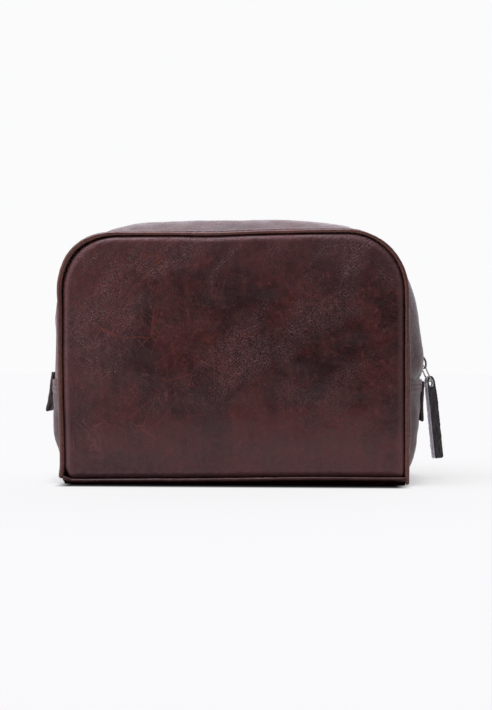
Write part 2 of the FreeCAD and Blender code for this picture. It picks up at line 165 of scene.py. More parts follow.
# ---- Mesh making ----------------------------------------------------------------------------------
def make_mesh(name, points, faces, cloth=None, edge=None):
    """A smooth-shaded object. The rest place, the lie of the cloth and the edge value are attributes: worn
    edges, and on the strap a painted highlight, where it is positive; painted seam shade where it is
    negative.
    """
    mesh = bpy.data.meshes.new(name)
    mesh.from_pydata([tuple(p) for p in np.asarray(points) * MM], [], [tuple(f) for f in faces])
    mesh.validate()
    count = len(mesh.vertices)
    rest = mesh.attributes.new("rest", "FLOAT_VECTOR", "POINT")
    rest.data.foreach_set("vector", (np.asarray(points, float) * MM).ravel())
    if cloth is not None:
        lie = mesh.attributes.new("cloth", "FLOAT_VECTOR", "POINT")
        flat = np.zeros((count, 3))
        flat[:, :2] = np.asarray(cloth, float).reshape(-1, 2) * MM
        lie.data.foreach_set("vector", flat.ravel())
    wear_and_painted_light = mesh.attributes.new("edge", "FLOAT", "POINT")
    wear_and_painted_light.data.foreach_set("value", np.zeros(count) if edge is None else np.asarray(edge, float).ravel())
    mesh.shade_smooth()
    piece = bpy.data.objects.new(name, mesh)
    bpy.context.scene.collection.objects.link(piece)
    return piece


def face_outwards(piece):
    """Turns a closed mesh's faces outwards."""
    mesh = piece.data
    mesh.calc_loop_triangles()
    co = np.array([v.co for v in mesh.vertices])
    tris = np.array([t.vertices for t in mesh.loop_triangles])
    a, b, c = co[tris[:, 0]], co[tris[:, 1]], co[tris[:, 2]]
    if np.einsum("ij,ij->i", a, np.cross(b, c)).sum() < 0:
        mesh.flip_normals()
    return piece


def ring_faces(rings, around):
    """Quads between closed rings of points."""
    faces = []
    for i in range(rings - 1):
        for k in range(around):
            n = (k + 1) % around
            faces.append((i * around + k, i * around + n, (i + 1) * around + n, (i + 1) * around + k))
    return faces


def rod_faces(rings, around, base=0):
    """Quads between closed rings of points, counted from point base, and a cap at each end."""
    ends = [tuple(range(around))[::-1], tuple(range((rings - 1) * around, rings * around))]
    return [tuple(base + i for i in face) for face in ring_faces(rings, around) + ends]


def swept(name, rings, cloth=None, edge=None):
    """A closed skin over rings (count, around, 3) of a flat ply, closed at both ends."""
    count, around = rings.shape[:2]
    faces = ring_faces(count, around)
    for start in (0, (count - 1) * around):
        for k in range(around // 2 - 1):
            a, b = start + k, start + k + 1
            c, d = start + around - 2 - k, start + around - 1 - k
            faces.append((a, b, c, d) if start == 0 else (d, c, b, a))
    return face_outwards(make_mesh(name, rings.reshape(-1, 3), faces, cloth, edge))


def plated(name, outer, inner, cloth=None, edge=None):
    """A closed skin over two grids of points (rows, columns, 3) joined round their rim."""
    rows, columns = outer.shape[:2]
    total = rows * columns
    grid = np.arange(total).reshape(rows, columns)
    a, b = grid[:-1, :-1].ravel(), grid[1:, :-1].ravel()
    c, d = grid[1:, 1:].ravel(), grid[:-1, 1:].ravel()
    faces = list(zip(a, b, c, d)) + list(zip(d + total, c + total, b + total, a + total))
    rim = np.concatenate([grid[0, :], grid[1:, -1], grid[-1, -2::-1], grid[-2:0:-1, 0]])
    after = np.roll(rim, -1)
    faces += list(zip(rim, after, after + total, rim + total))
    faces = [tuple(int(i) for i in f) for f in faces]
    points = np.concatenate([outer.reshape(-1, 3), inner.reshape(-1, 3)])
    double = [None if v is None else np.concatenate([v.reshape(total, -1)] * 2) for v in (cloth, edge)]
    return face_outwards(make_mesh(name, points, faces, *double))


def spokes(along, up, around):
    """Unit vectors round a path, from its directions and the direction kept square to it."""
    side = unit(np.cross(along, up))
    square = np.cross(side, along)
    angle = np.linspace(0, 2 * math.pi, around, endpoint=False)
    return np.cos(angle)[None, :, None] * side[:, None] + np.sin(angle)[None, :, None] * square[:, None]


def tube(name, path, radius, around):
    """A round-ended rod along a path; its radius may vary by point."""
    along = unit(np.gradient(path, axis=0))
    radius = np.array(np.broadcast_to(radius, (len(path), around)), float)
    turns = np.linspace(0, math.pi / 2, 6)[1:]
    head = [path[0] - along[0] * radius[0].mean() * math.sin(t) for t in turns][::-1]
    tail = [path[-1] + along[-1] * radius[-1].mean() * math.sin(t) for t in turns]
    shrink = np.cos(turns)[:, None]
    shrink[-1] = 0.02
    radius = np.concatenate([radius[0] * shrink[::-1], radius, radius[-1] * shrink])
    path = np.concatenate([head, path, tail])
    along = np.concatenate([[along[0]] * len(turns), along, [along[-1]] * len(turns)])
    rings = path[:, None] + spokes(along, (0, 1, 0), around) * radius[..., None]
    angle = np.linspace(0, 2 * math.pi, around, endpoint=False)
    cloth = grid_of(run_along(path), angle * radius.mean())
    faces = rod_faces(len(path), around)
    return face_outwards(make_mesh(name, rings.reshape(-1, 3), faces, cloth))


def softened(name, node, voxel, smooth):
    """A fine copy of a CAD solid with its edges rounded, to be shaped further, its points and normals."""
    source = frame["nodes"][node]
    mesh = source.data.copy()
    mesh.transform(source.matrix_world)
    mesh.materials.clear()
    copy = bpy.data.objects.new(name, mesh)
    bpy.context.scene.collection.objects.link(copy)
    remesh = copy.modifiers.new("remesh", "REMESH")
    remesh.mode, remesh.voxel_size = "VOXEL", voxel * MM
    relax = copy.modifiers.new("relax", "SMOOTH")
    relax.iterations, relax.factor = smooth, 0.5
    bpy.context.view_layer.update()
    fine = bpy.data.meshes.new_from_object(copy.evaluated_get(bpy.context.evaluated_depsgraph_get()))
    bpy.data.objects.remove(copy)
    points = np.array([v.co for v in fine.vertices]) / MM
    normals = np.array([v.normal for v in fine.vertices])
    faces = [tuple(p.vertices) for p in fine.polygons]
    return make_mesh(name, points, faces), points, normals


def reshape(piece, points, edge=None):
    """Gives a piece new places for its points, keeping its attributes."""
    piece.data.vertices.foreach_set("co", (points * MM).astype(np.float32).ravel())
    if edge is not None:
        piece.data.attributes["edge"].data.foreach_set("value", np.asarray(edge, float))
    piece.data.update()


# ---- Node materials -------------------------------------------------------------------------------
class Nodes:
    """A node tree, with short ways to add to it."""

    def __init__(self, tree):
        self.tree = tree

    def add(self, kind, inputs=(), **settings):
        node = self.tree.nodes.new(kind)
        for key, value in settings.items():
            setattr(node, key, value)
        for socket, value in dict(inputs).items():
            self.put(node.inputs[socket], value)
        return node

    def put(self, socket, value):
        if isinstance(value, bpy.types.NodeSocket):
            self.tree.links.new(value, socket)
        else:
            socket.default_value = value

    def math(self, operation, a, b=0.0, clamp=False):
        return self.add("ShaderNodeMath", {0: a, 1: b}, operation=operation, use_clamp=clamp).outputs[0]

    def times(self, a, b, clamp=False):
        return self.math("MULTIPLY", a, b, clamp)

    def plus(self, a, b, clamp=False):
        return self.math("ADD", a, b, clamp)

    def band(self, value, low, high, to_low=0.0, to_high=1.0):
        """Maps value from low..high to to_low..to_high, smoothly and clamped."""
        inputs = {0: value, 1: low, 2: high, 3: to_low, 4: to_high}
        node = self.add("ShaderNodeMapRange", inputs, interpolation_type="SMOOTHSTEP", clamp=True)
        return node.outputs[0]


class Look(Nodes):
    """One node material round a Principled shader."""

    def __init__(self, name, **constants):
        self.material = bpy.data.materials.new(name)
        self.material.use_nodes = True
        super().__init__(self.material.node_tree)
        self.shader = self.tree.nodes["Principled BSDF"]
        self.bumped = None
        for socket, value in constants.items():
            self.shader.inputs[socket.replace("_", " ")].default_value = value

    def stored(self, attribute):
        return self.add("ShaderNodeAttribute", attribute_name=attribute)

    def turned(self, place, stretch, turn):
        """Turns a place, then stretches it, so that long features can lie slantwise."""
        turned = self.add("ShaderNodeMapping", {"Vector": place, "Rotation": turn})
        return self.add("ShaderNodeMapping", {"Vector": turned.outputs[0], "Scale": stretch}).outputs[0]

    def object_place(self):
        return self.add("ShaderNodeTexCoord").outputs["Object"]

    def axis(self, place, letter):
        return self.add("ShaderNodeSeparateXYZ", {0: place}).outputs[letter]

    def joined(self, operation, a, b):
        return self.add("ShaderNodeVectorMath", {0: a, 1: b}, operation=operation).outputs[0]

    def noise(self, place, scale, detail=3.0, rough=0.55, twist=0.0):
        inputs = {"Vector": place, "Scale": scale, "Detail": detail, "Roughness": rough,
                  "Distortion": twist}
        return self.add("ShaderNodeTexNoise", inputs).outputs["Fac"]

    def cells(self, place, scale, feature="F1"):
        node = self.add("ShaderNodeTexVoronoi", {"Vector": place, "Scale": scale}, feature=feature)
        return node.outputs["Distance"]

    def lines(self, place, scale, width, strength=1.0):
        """A net of lines between cells."""
        return self.band(self.cells(place, scale, "DISTANCE_TO_EDGE"), 0.0, width, strength, 0.0)

    def blend(self, factor, a, b):
        return self.add("ShaderNodeMix", {0: factor, 6: a, 7: b}, data_type="RGBA").outputs[2]

    def relief(self, height, depth):
        """Adds height, in units of depth millimetres, to the surface's bump."""
        node = self.add("ShaderNodeBump", {"Height": height, "Distance": depth * MM, "Strength": 1.0})
        if self.bumped:
            self.put(node.inputs["Normal"], self.bumped)
        self.bumped = node.outputs["Normal"]

    def finish(self, colour, roughness=None):
        sockets = {"Base Color": colour, "Roughness": roughness, "Normal": self.bumped}
        for socket, value in sockets.items():
            if value is not None:
                self.put(self.shader.inputs[socket], value)
        return self.material


def srgb(*levels):
    """A linear colour with alpha from sRGB levels out of 255."""
    shares = [level / 255 for level in levels]
    linear = [c / 12.92 if c <= 0.04045 else ((c + 0.055) / 1.055) ** 2.4 for c in shares]
    return (*linear, 1.0)


# The near black of painted shade, in seams and in the gap under the bag.
PAINTED_SHADE_BLACK = (0.004, 0.002, 0.002, 1.0)


def leather(name, tones, rough=(0.36, 0.5), haze=0.3, grain=1.0, scars=0.0, shine=0.5, worn=0.0, pale=0.5):
    """Waxed pull-up leather: mottling, warm patches, pebble grain, creases, scars and worn high spots, with
    painted shade in seams and creases, painted highlights on the grain, and on the wall a painted
    reflection.
    """
    dark, middle, warm, rubbed_and_reflection = (srgb(*tone) for tone in tones)
    faded = tuple(a + pale * (b - a) for a, b in zip(warm, rubbed_and_reflection))
    look = Look(name, Specular_Tint=(1.0, 0.84, 0.9, 1.0), Sheen_Weight=haze,
                Sheen_Roughness=0.35, Sheen_Tint=(0.80, 0.66, 0.86, 1.0))
    place = look.stored("rest").outputs["Vector"]
    edge = look.stored("edge").outputs["Fac"]
    slanted = look.turned(place, (1.0, 1.0, 0.6), (0, math.radians(-42), 0))
    blotch = look.noise(place, 17.0, 4.0, 0.55, 0.5)
    patch = look.noise(place, 52.0, 6.0, 0.62, 0.6)
    mottle = look.noise(place, 300.0, 5.0, 0.68)
    tone = look.plus(look.times(blotch, 0.55), look.times(patch, 0.45))
    colour = look.blend(look.band(tone, 0.42, 0.6), dark, middle)
    warmth = look.band(look.noise(place, 85.0, 6.0, 0.7, 0.5), 0.5, 0.78, 0.0, 0.38)
    colour = look.blend(warmth, colour, warm)
    colour = look.blend(look.band(mottle, 0.47, 0.68, 0.0, 0.65), colour, dark)
    colour = look.blend(look.band(mottle, 0.3, 0.45, 0.3, 0.0), colour, faded)

    # Fine dark creases and pale cracks in the wax, slantwise and in clusters, between raised pebbles: their
    # dark is partly painted shade and their pale partly a painted highlight.
    zone = look.band(look.noise(slanted, 30.0, 5.0, 0.6, 0.8), 0.36, 0.66, 0.25, 1.0)
    if worn:
        zone = look.times(zone, look.band(look.axis(place, "Z"), 0.03, 0.085, 0.25, 1.0))
    crease = look.times(look.lines(slanted, 640.0, 0.18), zone)
    colour = look.blend(look.times(crease, 0.8), colour, dark)
    crack_and_highlight = look.lines(slanted, 780.0, 0.13, 0.42)
    colour = look.blend(look.times(crack_and_highlight, zone), colour, faded)

    if worn:
        # Paler near the foot, near the top and towards the left, broken up by the mottling: a painted
        # reflection of the bright floor and the studio's lights, not rubbing.
        low = look.band(look.axis(place, "Z"), 0.0, 0.085, 1.0, 0.0)
        high = look.band(look.axis(place, "Z"), 0.13, 0.18, 0.0, 0.5)
        left = look.band(look.axis(place, "X"), -0.13, -0.02, 0.5, 0.0)
        share = look.math("MAXIMUM", look.math("MAXIMUM", low, left), high)
        share = look.times(share, look.band(mottle, 0.3, 0.65, 0.5 * worn, worn))
        colour = look.blend(share, colour, rubbed_and_reflection)

    if scars:
        # Long branching veins and thin scratches, most of them at the left.
        wobble = look.add("ShaderNodeTexNoise", {"Vector": place, "Scale": 40.0, "Detail": 3.0})
        shift = look.joined("MULTIPLY", wobble.outputs["Color"], (0.0035, 0.0035, 0.0035))
        bent = look.joined("ADD", place, shift)
        left = look.band(look.axis(place, "X"), -0.10, 0.02, scars, 0.25 * scars)
        drawn = look.turned(bent, (1.0, 1.0, 0.3), (0, math.radians(-38), 0))
        vein = look.times(look.lines(drawn, 75.0, 0.03), look.band(look.noise(place, 30.0), 0.42, 0.6))
        vein = look.times(vein, left)
        colour = look.blend(look.times(vein, look.band(mottle, 0.3, 0.6, 0.5, 1.0)), colour, warm)
        fine = look.joined("ADD", bent, (0.31, 0.17, 0.23))
        drawn = look.turned(fine, (1.0, 1.0, 0.22), (0, math.radians(47), 0))
        scratch = look.times(look.lines(drawn, 150.0, 0.035), look.band(look.noise(place, 45.0), 0.42, 0.6))
        scratch = look.times(scratch, left)
        colour = look.blend(look.times(scratch, 0.5), colour, faded)
        look.relief(vein, -0.12)
        look.relief(scratch, -0.1)

    # Paler where the edge value is positive: worn rims and folds, and on the strap's cut edges also a
    # painted highlight.
    wear_and_painted_light = look.times(edge, look.band(mottle, 0.3, 0.6, 0.45, 1.0), clamp=True)
    colour = look.blend(wear_and_painted_light, colour, rubbed_and_reflection)
    # Where the edge value is negative the leather dives into a seam and is painted near black, without
    # gloss: painted shade.
    seam = look.times(edge, -1.0, clamp=True)
    colour = look.blend(seam, colour, PAINTED_SHADE_BLACK)
    look.put(look.shader.inputs["Specular IOR Level"], look.band(seam, 0.0, 0.5, shine, 0.0))

    look.relief(crease, -0.13 * grain)
    look.relief(look.times(look.cells(slanted, 560.0), look.plus(zone, 0.25)), -0.14 * grain)
    look.relief(look.noise(place, 1100.0, 3.0, 0.6), 0.08 * grain)
    look.relief(look.noise(place, 150.0, 4.0, 0.6), 0.35 * grain)
    roughness = look.band(look.plus(patch, look.times(mottle, 0.4)), 0.5, 0.9, *rough)
    return look.finish(colour, roughness)


def woven(name, light, dark, pitch):
    """Plain weave from two sets of threads, with uneven yarn."""
    look = Look(name, Roughness=0.85, Sheen_Weight=0.15)
    place = look.stored("cloth").outputs["Vector"]
    yarn = look.noise(place, 700.0, 2.0)
    turns = 2 * math.pi / (pitch * MM)
    warp, weft = (look.math("SINE", look.times(look.axis(place, way), turns)) for way in "XY")
    cloth = look.times(warp, weft)
    look.relief(look.plus(look.times(cloth, 0.5), look.times(yarn, 0.5)), 0.12)
    tone = look.plus(look.times(cloth, 0.25), look.band(yarn, 0.3, 0.7, 0.1, 0.75), clamp=True)
    return look.finish(look.blend(tone, srgb(*dark), srgb(*light)))


def metal(name, colour, worn, rough=(0.22, 0.4), scratch=1.0):
    """Plated metal with faint scratches and dull spots."""
    look = Look(name, Metallic=1.0)
    place = look.object_place()
    cloud = look.noise(place, 420.0, 4.0, 0.6)
    look.relief(look.noise(place, 2600.0, 2.0), 0.02 * scratch)
    tone = look.blend(look.band(cloud, 0.42, 0.68), srgb(*colour), srgb(*worn))
    return look.finish(tone, look.band(cloud, 0.3, 0.7, *rough))


def twisted(name, light, dark):
    """Twisted waxed thread."""
    look = Look(name, Roughness=0.5, Sheen_Weight=0.2)
    place = look.turned(look.stored("cloth").outputs["Vector"], (1, 1, 1), (0, 0, math.radians(32)))
    twist = look.math("SINE", look.times(look.axis(place, "X"), 2 * math.pi / (0.34 * MM)))
    look.relief(twist, 0.05)
    return look.finish(look.blend(look.band(twist, -1.0, 1.0), srgb(*dark), srgb(*light)))


def cardboard(name, light, dark):
    look = Look(name, Roughness=0.9)
    fibre = look.noise(look.object_place(), 900.0, 5.0, 0.7, 0.6)
    look.relief(fibre, 0.08)
    return look.finish(look.blend(look.band(fibre, 0.3, 0.7), srgb(*dark), srgb(*light)))


# sRGB tones of each leather: in its dark blotches, between them, in warm patches, and where worn; the last
# is also the wall's painted reflection and the painted highlight on the strap's cut edges.
BROWN = ((25, 6, 6), (60, 21, 18), (102, 44, 33), (120, 86, 88))
BASE = (BROWN[0], (50, 26, 25), *BROWN[2:])
# The base piping is the same leather as the wall's bead, in darker tones: painted shade, low down under the
# bag.
FOOT_IN_SHADE = ((34, 16, 13), (54, 28, 23), (80, 42, 31), (96, 66, 60))
BEAD = ((50, 22, 17), (78, 40, 32), (104, 56, 40), (130, 90, 78))
# The strap's last tone, near white, is partly a painted highlight on its cut edges.
STRAP = ((12, 8, 9), (24, 17, 18), (34, 22, 21), (226, 220, 236))
TAB = ((10, 7, 8), (20, 14, 14), (40, 24, 22), (90, 76, 76))
LOOKS = {
    # On the wall the worn share is a painted reflection, paler near the foot, the top and the left.
    "wall": leather("wall_leather", BROWN, (0.29, 0.4), haze=0.03, scars=0.6, shine=0.33, worn=0.3),
    "gusset": leather("gusset_leather", BROWN, (0.28, 0.4), haze=0.08, shine=0.45),
    "base": leather("base_leather", BASE, (0.5, 0.62), haze=0.1),
    "foot": leather("base_piping_leather_in_shade", FOOT_IN_SHADE, (0.26, 0.38), haze=0.03, grain=0.4, shine=0.32),
    "bead": leather("piping_leather", BEAD, (0.2, 0.3), haze=0.03, grain=0.4, shine=0.4),
    "strap": leather("strap_leather", STRAP, (0.34, 0.48), haze=0.02, grain=1.4, shine=0.16, pale=0.02),
    "tab": leather("tab_leather", TAB, (0.42, 0.56), haze=0.1, grain=1.2, pale=0.1),
    "lining": woven("lining_cotton", (104, 88, 72), (62, 50, 42), 0.7),
    "tape": woven("zip_tape_weave", (44, 30, 28), (20, 13, 13), 0.5),
    "cord": woven("piping_cord_cotton", (214, 206, 190), (150, 140, 120), 0.8),
    "thread": twisted("seam_thread", (128, 74, 64), (70, 36, 32)),
    "zip": metal("zip_metal", (120, 112, 104), (70, 62, 56)),
    "slider": metal("slider_metal", (128, 126, 132), (60, 58, 62), (0.2, 0.38)),
    "ring": metal("ring_metal", (196, 192, 188), (120, 112, 108), (0.12, 0.28), 0.5),
    "board": cardboard("fibre_board", (190, 168, 134), (150, 126, 96)),
}


def dress(piece, look, body, slot, *nodes):
    """Gives a piece its material and hides the CAD nodes that it stands for. It is attached to its body's
    empty, but pieces of the lower and front gusset only have their transform baked. The slot is not used.
    """
    piece.data.materials.clear()
    piece.data.materials.append(LOOKS[look])
    if nodes:
        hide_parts(*nodes)
    if body == "lower gusset":
        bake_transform(piece)
    elif body == "front gusset":
        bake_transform(piece)
    else:
        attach(piece, body)
    return piece


# ---- Walls ----------------------------------------------------------------------------------------
def spread(length, rim, step):
    """Places from 0 to length, close together near both ends."""
    count = int((length - 2 * rim[-1]) / step) + 1
    middle = np.linspace(rim[-1], length - rim[-1], count + 1)
    return np.concatenate([rim[:-1], middle, length - np.array(rim[:-1][::-1])])


RIM = (0.0, 0.12, 0.35, 0.7, 1.15, 1.7, 2.4, 3.2, 4.1, 5.2, 6.4)


def wall_grid(inset, foot_z, step):
    """x and z over a wall's outline, rows from the foot up, and the distance in from its edge."""
    half, top, radius = HALF_W - inset, TOP_Z - inset, CORNER_R - inset
    z = foot_z + spread(top - foot_z, RIM, step)
    over = np.clip(z - (top - radius), 0, radius)
    width = half - radius + np.sqrt(np.maximum(radius**2 - over**2, 0))
    across = spread(2 * half, RIM, step)
    share = (across - half) / half
    x = share[None, :] * width[:, None]
    z = np.broadcast_to(z[:, None], x.shape)
    out_x, up_z = np.abs(x) - (half - radius), z - (top - radius)
    straight = np.minimum(radius - out_x, radius - up_z)
    depth_in = np.where((out_x > 0) & (up_z > 0), radius - np.hypot(out_x, up_z), straight)
    return x, z, np.clip(np.minimum(depth_in, z - foot_z), 0, None)


def swell(depth_in, radius, height):
    """A quarter-round rim that rises from the edge."""
    t = 1 - np.minimum(depth_in, radius) / radius
    return height * np.sqrt(np.maximum(1 - t * t, 0))


def wall_leather(name, side, seed):
    """The wall's leather: a puffed rim beside the piping, and a soft uneven face."""
    inset, start = 3.35, 5.0
    x, z, depth_in = wall_grid(inset, start, 1.25)
    # The puffed rim turns a round corner at each end of the foot, wider at the left.
    round_r = np.where(x < 0, 8.0, 4.0)
    beside = np.clip(round_r - (HALF_W - inset - np.abs(x)), 0, None)
    above = np.clip(round_r - (z - start), 0, None)
    at_foot = np.clip(round_r - np.hypot(beside, above), 0, None)
    depth_in = np.where((beside > 0) & (above > 0), at_foot, depth_in)
    top = TOP_Z - inset
    z = top - (top - z) * (top - base_line(x) - 1.5) / (top - start)
    # The piping is thicker round the top left corner, and holds the leather off there.
    held = 1.5 * bump(x, -120, 38) * bump(z, 166, 42) * (1 - rise_to(depth_in, 0, 45))
    x, z = x + 0.8 * held, z - 0.5 * held
    flat = np.stack([x, z], axis=-1)
    face = HALF_D - 3.9 + swell(depth_in, 5.6, 4.7) + 0.7 * rise_to(depth_in, 4, 40)
    # Slack low down, so that the face turns a little to the ground near its foot.
    face = face + 1.5 * bump(z, 62, 50) * rise_to(depth_in, 2, 40)
    loose = rise_to(depth_in, 2.0, 22.0)
    face = face + loose * (0.55 * waves(flat, 80, seed) + 0.2 * waves(flat, 27, seed + 1))
    face = face + 0.09 * waves(flat, 9, seed + 2) * rise_to(depth_in, 1.0, 6.0)
    # Shallow slanting folds where the leather has been bent.
    slant = x * 0.62 + z * 0.78
    folds = np.sin(slant / 2.3 + 1.5 * waves(flat, 40, seed + 3))
    where = rise_to(waves(flat, 58, seed + 4), 0.4, 1.2)
    face = face + 0.07 * folds * where * loose
    back = np.minimum(HALF_D - 0.5 - LEATHER, face - 0.5)
    # Worn on the rim's crown; painted shade, near black, at the outline where it dives under the piping.
    edge = 0.25 * bump(depth_in, 3.4, 1.7) - (1 - rise_to(depth_in, 0.0, 0.5))
    return plated(name, sagged(x, side * face, z), sagged(x, side * back, z), flat, edge)


def wall_path(inset):
    """x, z along the outline from the right foot over the top to the left foot, about 1 mm apart."""
    half, top, radius = HALF_W - inset, TOP_Z - inset, CORNER_R - inset
    shoulder = top - radius
    halves = []
    for foot_z in BEAD_FEET:
        side = np.arange(foot_z, shoulder, 1.0)
        turn = np.linspace(0, math.pi / 2, int(radius * math.pi / 2))
        flat = np.arange(half - radius, 0, -1.0)[1:]
        x = np.concatenate([np.full_like(side, half), half - radius + radius * np.cos(turn), flat])
        z = np.concatenate([side, shoulder + radius * np.sin(turn), np.full_like(flat, top)])
        halves.append(np.stack([x, z], -1))
    return np.concatenate([halves[0], halves[1][::-1] * (-1, 1)])


def corner_share(path):
    """1 in the wall's round top corners, 0 on its straight sides."""
    x_start, z_start = HALF_W - CORNER_R - 8, TOP_Z - CORNER_R - 8
    aside = rise_to(np.abs(path[..., 0]), x_start, x_start + 18)
    return aside * rise_to(path[..., 1], z_start, z_start + 18)


def bead_radius(path, seed):
    """A piping bead's radius: uneven along its length, and puckered round the corners."""
    angle = np.linspace(0, 2 * math.pi, BEAD_SIDES, endpoint=False)
    rings = grid_of(run_along(path), 3 * np.cos(angle))
    uneven = 0.07 * waves(rings, 26, seed) + 0.05 * waves(rings, 6.5, seed + 1)
    puckers = 0.04 * waves(rings, 3.2, seed + 2) * corner_share(path)[:, None]
    left = 1 - rise_to(path[:, 0], -112, -70)
    right = 0.5 * rise_to(path[:, 0], 100, 126)
    radius = BEAD_R + 0.1 + 0.7 * np.maximum(left, right)
    return radius[:, None] * (1 + 0.6 * uneven) + puckers


def bead_and_cord(name, side, line, radius, worn):
    """A bead of piping, worn on its crown and painted near black on its side towards the seams beside it
    (painted shade), and the cord in it.
    """
    bead = tube(name + "_bead", line, radius, BEAD_SIDES)
    depth = side * np.array([v.normal[1] for v in bead.data.vertices])
    # Worn where it faces out; painted shade, near black, where it faces into the seam.
    wear_and_painted_light = (worn + 0.9) * rise_to(depth, -0.1, 0.6) - 0.9
    bead.data.attributes["edge"].data.foreach_set("value", wear_and_painted_light)
    return bead, tube(name + "_bead_cord", line[4:-4], CORD_R, 10)


def piping(name, side, seed):
    path = wall_path(BEAD_INSET)
    # It flares out at its left foot.
    path[:, 0] -= 1.1 * bump(path[:, 1], 4, 7) * (path[:, 0] < 0)
    line = sagged(path[:, 0], side * BEAD_Y, path[:, 1])
    return bead_and_cord(name, side, line, bead_radius(path, seed), 0.2)


def base_piping(name, side, seed):
    x = np.linspace(-(HALF_W - 3.3), HALF_W - 3.3, 210)
    line = sagged(x, side * BEAD_Y, base_line(x) + 0.12 * np.sin(x / 21.0 + side))
    # Its radius is worked out along a straight line in the middle, where nothing thickens it.
    radius = 1.3 * bead_radius(np.stack([0 * x, x], -1), seed)
    return bead_and_cord(name + "_base", side, line, radius, 0.1)


def wall_lining(name, side, seed):
    x, z, depth_in = wall_grid(4.7, 5.4, 3.0)
    flat = np.stack([x, z], -1)
    ripple = 0.35 * waves(flat, 34, seed) * rise_to(depth_in, 1, 25)
    outer = sagged(x, side * (HALF_D - 4.45 + np.minimum(ripple, 0)), z)
    inner = outer - (0, side * LINING, 0)
    return plated(name, outer, inner, flat)


# ---- Gusset ---------------------------------------------------------------------------------------
def arc_through(a, b, c, count):
    """Points of the circle's arc from a by way of b up to, but without, c."""
    rows = 2 * np.array([np.subtract(b, a), np.subtract(c, b)])
    sizes = [np.dot(b, b) - np.dot(a, a), np.dot(c, c) - np.dot(b, b)]
    centre = np.linalg.solve(rows, sizes)
    radius = np.linalg.norm(np.subtract(a, centre))
    first, last = (math.atan2(p[1] - centre[1], p[0] - centre[0]) for p in (a, c))
    angle = np.linspace(first, last, count, endpoint=False)
    return centre + radius * np.stack([np.cos(angle), np.sin(angle)], -1)


def arch_half(section):
    """x, z of the right half of an arch section, from its foot to the middle of its top."""
    low, high, shoulder, top_x, edge, middle, across, up = section
    side, turn, top = 36, 46, 60
    t = np.linspace(0, 1, side, endpoint=False)
    first = np.stack([low + (high - low) * t, JOIN_Z + (shoulder - JOIN_Z) * t], -1)
    way = (top_x + (high - top_x) * across, shoulder + (edge - shoulder) * up)
    second = arc_through((high, shoulder), way, (top_x, edge), turn)
    t = np.linspace(1, 0, top)
    third = np.stack([top_x * t, middle - (middle - edge) * t * t], -1)
    points = np.concatenate([first, second, third])
    # The straight stretch stays straight, because the slider runs along it.
    free = side - 2
    for _ in range(40):
        points[free:-1] = 0.5 * points[free:-1] + 0.25 * (points[free + 1:] + points[free - 1:-2])
    return points


def whole_arch(section):
    right = arch_half(section)
    return np.concatenate([right, right[-2::-1] * (-1, 1)])


def radial_line():
    """The gusset's seam line, the directions from it to its crest, and how far that is."""
    seam = whole_arch(SEAM_ARCH)
    out = whole_arch(CREST_ARCH) - seam
    return seam, unit(out), np.linalg.norm(out, axis=1)


def cad_bulge(y):
    """The CAD's own bulge, for plies that have to stay inside."""
    return np.interp(np.abs(y), (CREST_FLAT_Y, 27.0, 40.0, SEAM_Y), (1.0, 0.85, 0.55, 0.0))


def outward(y, reach, lip_height):
    """How far the gusset stands out from the seam's line at a depth: a turned lip beside the piping,
    then a soft bulge up to the crest."""
    y = np.abs(y)
    t = np.clip((51.0 - y) / (51.0 - CREST_FLAT_Y), 0, 1)
    body = reach * np.sin(math.pi / 2 * t) ** 0.92
    places = np.array((40.0, 46.0, 48.6, 50.6, 52.2, 53.3, 53.9, 54.3, LIP_Y))
    lip = lip_height * np.interp(y, places, (0, 0.4, 0.8, 1.0, 0.99, 0.9, 0.75, 0.5, 0))
    return 0.5 * (lip + body + np.sqrt((lip - body) ** 2 + 0.35)) - 0.25


LIP_Y = 54.6
# The strip's section, close together where it bends: its outer face from the lip to the zip, the edge
# rolled in beside the zip, and its inner face.
STRIP_DEPTHS = (54.6, 54.5, 54.3, 54.1, 53.8, 53.4, 52.9, 52.3, 51.5, 50.5, 49.2, 47.8, 46.2, 44.5, 42.4, 40,
                37.3, 34.4, 31.3, 28, 24.6, 21.2, 18, 15.2, 12.9, 11.2, 10.0, 9.2, 8.7, 8.2, 7.6, 7.0, 6.5)
STRIP_ROLL = ((6.15, -0.3), (6.05, -0.75), (6.2, -1.15), (6.6, -1.4))
STRIP_INNER = (8.5, 12, 16, 21, 27, 33, 40, 46, 50, 52.2, 53.4)


def strip_profile():
    """The strip's closed section: depths, heights above its outer face, and how many are outside."""
    outer = [(y, 0.0) for y in STRIP_DEPTHS] + list(STRIP_ROLL)
    inner = [(y, -LEATHER) for y in STRIP_INNER]
    if (len(outer) + len(inner)) % 2:
        inner.append((53.8, -LEATHER))
    return *np.array(outer + inner).T, len(outer)


def strip_points(side, seed):
    """The gusset strip's rings (along, around, 3), and how the leather lies on them."""
    seam, radial, reach = radial_line()
    crest = whole_arch(CREST_ARCH)
    y, lift, outside = strip_profile()
    lip = 3.9 - 0.7 * (1 - rise_to(seam[:, 0], -125, -60)) * (1 - rise_to(seam[:, 1], 120, 165))
    stand = outward(y[None, :], reach[:, None], lip[:, None])
    inner = reach[:, None] * cad_bulge(y)[None, :]
    stand[:, outside:] = np.minimum(inner, stand)[:, outside:]
    flat = grid_of(run_along(crest), y)
    stand = stand + lift[None, :]
    stand[:, :outside] += strip_relief(seam, crest, y[:outside], flat[:, :outside], seed)
    points = seam[:, None, :] + radial[:, None, :] * stand[..., None]
    return sagged(points[..., 0], side * y, points[..., 1]), flat


